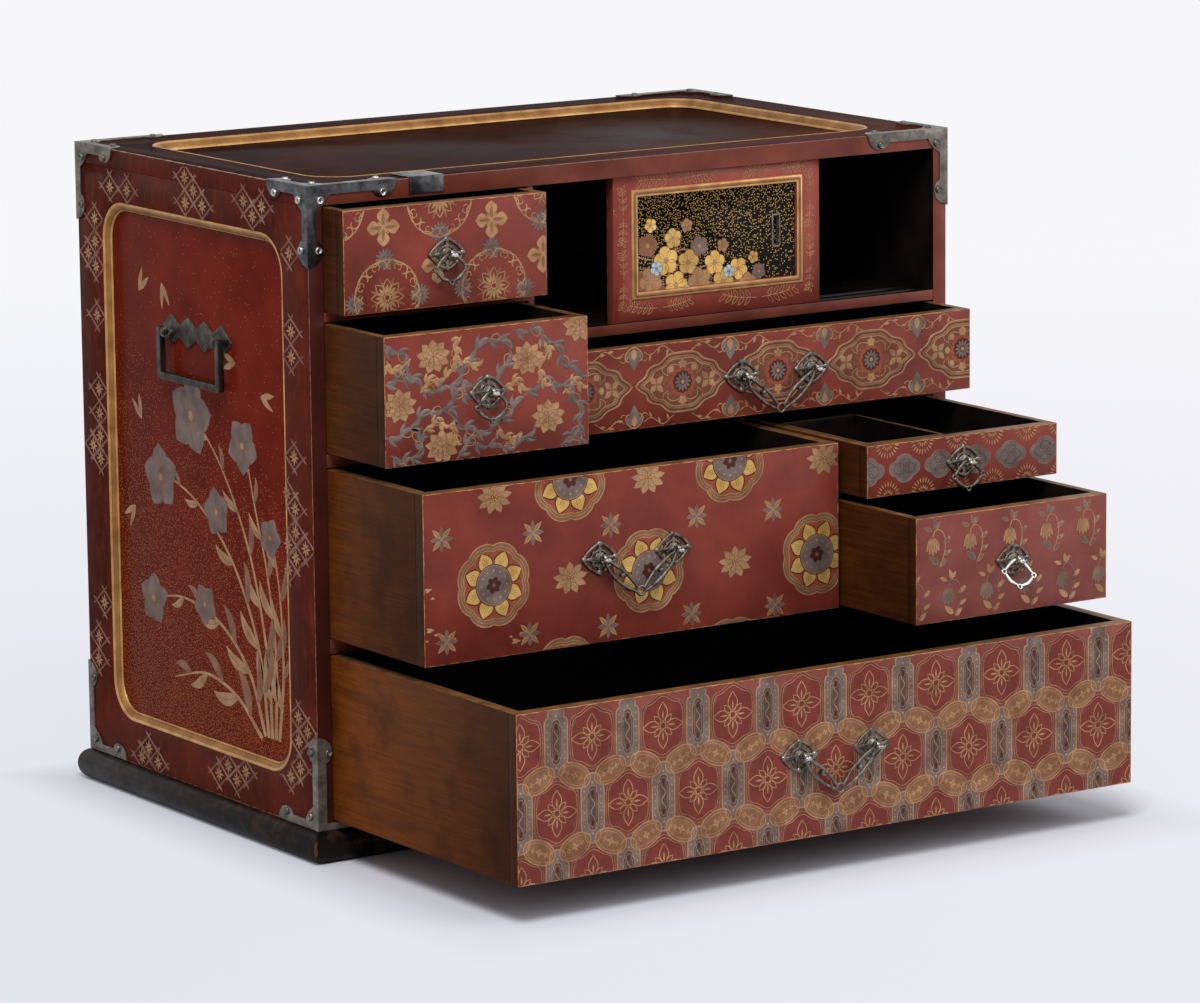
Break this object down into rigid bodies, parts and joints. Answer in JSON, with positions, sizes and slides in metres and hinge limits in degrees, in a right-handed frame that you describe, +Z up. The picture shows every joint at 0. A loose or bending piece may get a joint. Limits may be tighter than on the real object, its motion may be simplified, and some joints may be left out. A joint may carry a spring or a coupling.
{
  "type": "lacquer travel box with drawers",
  "caption": "Portable lacquered wooden cabinet with pull-out drawers, sliding doors, a lift-out tray, metal corner mounts, drawer pulls and side carrying handles.",
  "frame": {"origin": "centre of the plinth's flat underside", "axes": "+Z up, +Y to the back, -Y to the front where the drawers open, +X to the viewer's right"},
  "size_m": [0.4664, 0.4854, 0.3956],
  "materials": {
    "red_lacquer": "translucent red-brown lacquer on wood, glossy and worn, with gold decoration",
    "bengara_lacquer": "red iron-oxide lacquer on wood, satin, with gold and silver patterns",
    "aubergine_lacquer": "dark brown lacquer on wood, glossy with hazy worn patches",
    "black_lacquer": "black lacquer on wood, glossy, brown at worn corners",
    "stained_wood": "brown stained thin boards with a clear lacquer",
    "gilt": "gold powder on a lacquered wood strip, satin",
    "silvered_metal": "silvered copper alloy, tarnished grey, worn bright at the edges",
    "dark_metal": "dark patinated iron, worn bright at the edges"
  },
  "bodies": {
    "case": {"base": "black_lacquer", "left_side": "red_lacquer", "right_side": "red_lacquer", "top_board": "aubergine_lacquer", "back_panel": "aubergine_lacquer", "lower_shelf": "red_lacquer", "middle_shelf": "red_lacquer", "door_shelf": "red_lacquer", "left_partition": "red_lacquer", "right_partition": "red_lacquer", "top_moulding": "gilt", "left_moulding": "gilt", "right_moulding": "gilt", "strike_plate": "dark_metal", "mount_top_front_left": "dark_metal", "mount_top_front_right": "silvered_metal", "mount_top_back_left": "dark_metal", "mount_top_back_right": "silvered_metal", "mount_bottom_front_left": "silvered_metal", "mount_bottom_front_right": "silvered_metal", "mount_bottom_back_left": "silvered_metal", "mount_bottom_back_right": "silvered_metal", "left_handle_plate": "dark_metal", "right_handle_plate": "dark_metal"},
    "left_handle": {"left_handle_bail": "dark_metal"},
    "right_handle": {"right_handle_bail": "dark_metal"},
    "front_door": {"front_sliding_door": "bengara_lacquer"},
    "rear_door": {"rear_sliding_door": "bengara_lacquer"},
    "top_left_drawer": {"top_left_drawer_front": "bengara_lacquer", "top_left_drawer_box": "stained_wood", "top_left_drawer_pull_plate": "silvered_metal"},
    "top_left_bail": {"top_left_drawer_pull_bail": "silvered_metal"},
    "middle_left_drawer": {"middle_left_drawer_front": "bengara_lacquer", "middle_left_drawer_box": "stained_wood", "middle_left_drawer_pull_plate": "silvered_metal"},
    "middle_left_bail": {"middle_left_drawer_pull_bail": "silvered_metal"},
    "middle_right_drawer": {"middle_right_drawer_front": "bengara_lacquer", "middle_right_drawer_box": "stained_wood", "middle_right_drawer_pull_plate_left": "silvered_metal", "middle_right_drawer_pull_plate_right": "silvered_metal"},
    "middle_right_bail": {"middle_right_drawer_pull_bail": "silvered_metal"},
    "tall_drawer": {"tall_drawer_front": "bengara_lacquer", "tall_drawer_box": "stained_wood", "tall_drawer_pull_plate_left": "silvered_metal", "tall_drawer_pull_plate_right": "silvered_metal"},
    "tall_bail": {"tall_drawer_pull_bail": "silvered_metal"},
    "tray_drawer": {"tray_drawer_front": "bengara_lacquer", "tray_drawer_box": "stained_wood", "lift_out_tray": "black_lacquer", "tray_drawer_pull_plate": "silvered_metal"},
    "tray_drawer_bail": {"tray_drawer_pull_bail": "silvered_metal"},
    "low_right_drawer": {"low_right_drawer_front": "bengara_lacquer", "low_right_drawer_box": "stained_wood", "low_right_drawer_pull_plate": "silvered_metal"},
    "low_right_bail": {"low_right_drawer_pull_bail": "silvered_metal"},
    "bottom_drawer": {"bottom_drawer_front": "bengara_lacquer", "bottom_drawer_box": "stained_wood", "bottom_drawer_pull_plate_left": "silvered_metal", "bottom_drawer_pull_plate_right": "silvered_metal"},
    "bottom_bail": {"bottom_drawer_pull_bail": "silvered_metal"}
  },
  "joints": [
    {"name": "left_handle_swing", "type": "hinge", "parent": "case", "child": "left_handle", "pos_m": [-0.22775, 0, 0.2911], "axis": [0, 1, 0], "range_deg": [-5, 175]},
    {"name": "right_handle_swing", "type": "hinge", "parent": "case", "child": "right_handle", "pos_m": [0.22775, 0, 0.2911], "axis": [0, -1, 0], "range_deg": [-5, 175]},
    {"name": "front_door_slide", "type": "slide", "parent": "case", "child": "front_door", "axis": [1, 0, 0], "range_m": [-0.0576, 0.0825]},
    {"name": "rear_door_slide", "type": "slide", "parent": "case", "child": "rear_door", "axis": [1, 0, 0], "range_m": [-0.0649, 0.0752]},
    {"name": "top_left_drawer_slide", "type": "slide", "parent": "case", "child": "top_left_drawer", "axis": [0, -1, 0], "range_m": [-0.0216, 0.1904]},
    {"name": "top_left_bail_swing", "type": "hinge", "parent": "top_left_drawer", "child": "top_left_bail", "pos_m": [-0.14715, -0.1626, 0.3517], "axis": [-1, 0, 0], "range_deg": [-10, 160]},
    {"name": "middle_left_drawer_slide", "type": "slide", "parent": "case", "child": "middle_left_drawer", "axis": [0, -1, 0], "range_m": [-0.0636, 0.1484]},
    {"name": "middle_left_bail_swing", "type": "hinge", "parent": "middle_left_drawer", "child": "middle_left_bail", "pos_m": [-0.14715, -0.2046, 0.2772], "axis": [-1, 0, 0], "range_deg": [-10, 160]},
    {"name": "middle_right_drawer_slide", "type": "slide", "parent": "case", "child": "middle_right_drawer", "axis": [0, -1, 0], "range_m": [-0.0384, 0.1736]},
    {"name": "middle_right_bail_swing", "type": "hinge", "parent": "middle_right_drawer", "child": "middle_right_bail", "pos_m": [0.0716, -0.1794, 0.26425], "axis": [-1, 0, 0], "range_deg": [-8, 160]},
    {"name": "tall_drawer_slide", "type": "slide", "parent": "case", "child": "tall_drawer", "axis": [0, -1, 0], "range_m": [-0.1021, 0.1099]},
    {"name": "tall_bail_swing", "type": "hinge", "parent": "tall_drawer", "child": "tall_bail", "pos_m": [-0.07245, -0.2431, 0.181], "axis": [-1, 0, 0], "range_deg": [-8, 160]},
    {"name": "tray_drawer_slide", "type": "slide", "parent": "case", "child": "tray_drawer", "axis": [0, -1, 0], "range_m": [-0.1238, 0.0882]},
    {"name": "tray_drawer_bail_swing", "type": "hinge", "parent": "tray_drawer", "child": "tray_drawer_bail", "pos_m": [0.1458, -0.2648, 0.2148], "axis": [-1, 0, 0], "range_deg": [-10, 160]},
    {"name": "low_right_drawer_slide", "type": "slide", "parent": "case", "child": "low_right_drawer", "axis": [0, -1, 0], "range_m": [-0.1715, 0.0405]},
    {"name": "low_right_bail_swing", "type": "hinge", "parent": "low_right_drawer", "child": "low_right_bail", "pos_m": [0.1458, -0.3125, 0.1631], "axis": [-1, 0, 0], "range_deg": [-24, 136]},
    {"name": "bottom_drawer_slide", "type": "slide", "parent": "case", "child": "bottom_drawer", "axis": [0, -1, 0], "range_m": [-0.1958, 0.0162]},
    {"name": "bottom_bail_swing", "type": "hinge", "parent": "bottom_drawer", "child": "bottom_bail", "pos_m": [0, -0.3368, 0.0728], "axis": [-1, 0, 0], "range_deg": [-8, 160]}
  ]
}
